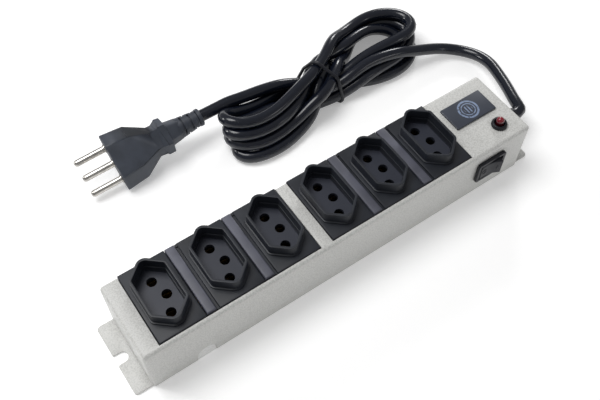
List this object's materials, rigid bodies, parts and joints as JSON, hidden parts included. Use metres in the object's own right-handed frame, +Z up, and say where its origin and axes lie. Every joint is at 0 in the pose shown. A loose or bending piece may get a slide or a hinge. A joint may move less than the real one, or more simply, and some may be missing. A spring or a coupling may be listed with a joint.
{
  "type": "rack power strip",
  "caption": "Short rack-mount power strip: folded steel channel with a row of six-sided three-pin sockets, rocker switch, indicator lamp, slotted ears and a tied cord with plug.",
  "frame": {"origin": "centre of the underside of the housing", "axes": "+X along the strip towards the switch and the cord, +Y across it towards the rear wall, +Z up out of the socket face"},
  "size_m": [0.2834, 0.141, 0.0426],
  "materials": {
    "textured_paint": "light grey hammered powder coat on folded steel",
    "cover_paint": "smooth grey paint",
    "socket_plastic": "fine satin black plastic",
    "carrier_plastic": "moulded black plastic",
    "filler_plastic": "satin dark grey plastic",
    "brass": "stamped brass",
    "zinc_plate": "zinc-plated steel",
    "nickel_plate": "nickel-plated brass",
    "badge_plastic": "satin slate plastic with a plain printed symbol",
    "red_lens": "clear red plastic lens",
    "switch_plastic": "black plastic",
    "cord_sheath": "glossy black flexible sheath",
    "plug_rubber": "matte black moulded plug",
    "live_sheath": "brown insulated lead",
    "neutral_sheath": "blue insulated lead",
    "earth_sheath": "green insulated lead"
  },
  "bodies": {
    "strip": {"housing": "textured_paint", "base_cover": "cover_paint", "socket_face_1": "socket_plastic", "socket_face_2": "socket_plastic", "socket_face_3": "socket_plastic", "socket_face_4": "socket_plastic", "socket_face_5": "socket_plastic", "socket_face_6": "socket_plastic", "contact_carrier_1": "carrier_plastic", "contact_carrier_2": "carrier_plastic", "contact_carrier_3": "carrier_plastic", "contact_carrier_4": "carrier_plastic", "contact_carrier_5": "carrier_plastic", "contact_carrier_6": "carrier_plastic", "filler_strip_1": "filler_plastic", "filler_strip_2": "filler_plastic", "filler_strip_3": "filler_plastic", "filler_strip_4": "filler_plastic", "bus_bar_live": "brass", "bus_bar_earth": "brass", "bus_bar_neutral": "brass", "switch_terminal_1": "brass", "switch_terminal_2": "brass", "cover_bracket_left": "zinc_plate", "cover_bracket_right": "zinc_plate", "cover_screw_1": "zinc_plate", "cover_screw_2": "zinc_plate", "cover_screw_3": "zinc_plate", "cover_screw_4": "zinc_plate", "earth_stud": "zinc_plate", "earth_nut": "zinc_plate", "plug_pin_live": "nickel_plate", "plug_pin_earth": "nickel_plate", "plug_pin_neutral": "nickel_plate", "badge_plate": "badge_plastic", "lamp_lens": "red_lens", "lamp_holder": "switch_plastic", "switch_frame": "switch_plastic", "cord_gland": "switch_plastic", "cord_tie": "switch_plastic", "cord_to_housing": "cord_sheath", "cord_to_plug": "cord_sheath", "cord_hank": "cord_sheath", "plug_body": "plug_rubber", "lead_live_in": "live_sheath", "lead_live_out": "live_sheath", "lead_neutral": "neutral_sheath", "lead_earth": "earth_sheath"},
    "rocker": {"switch_rocker": "switch_plastic"}
  },
  "joints": [
    {"name": "rocker_tilt", "type": "hinge", "parent": "strip", "child": "rocker", "pos_m": [0.0924, -0.0212, 0.0202], "axis": [0, 0, 1], "range_deg": [0, 24]}
  ]
}
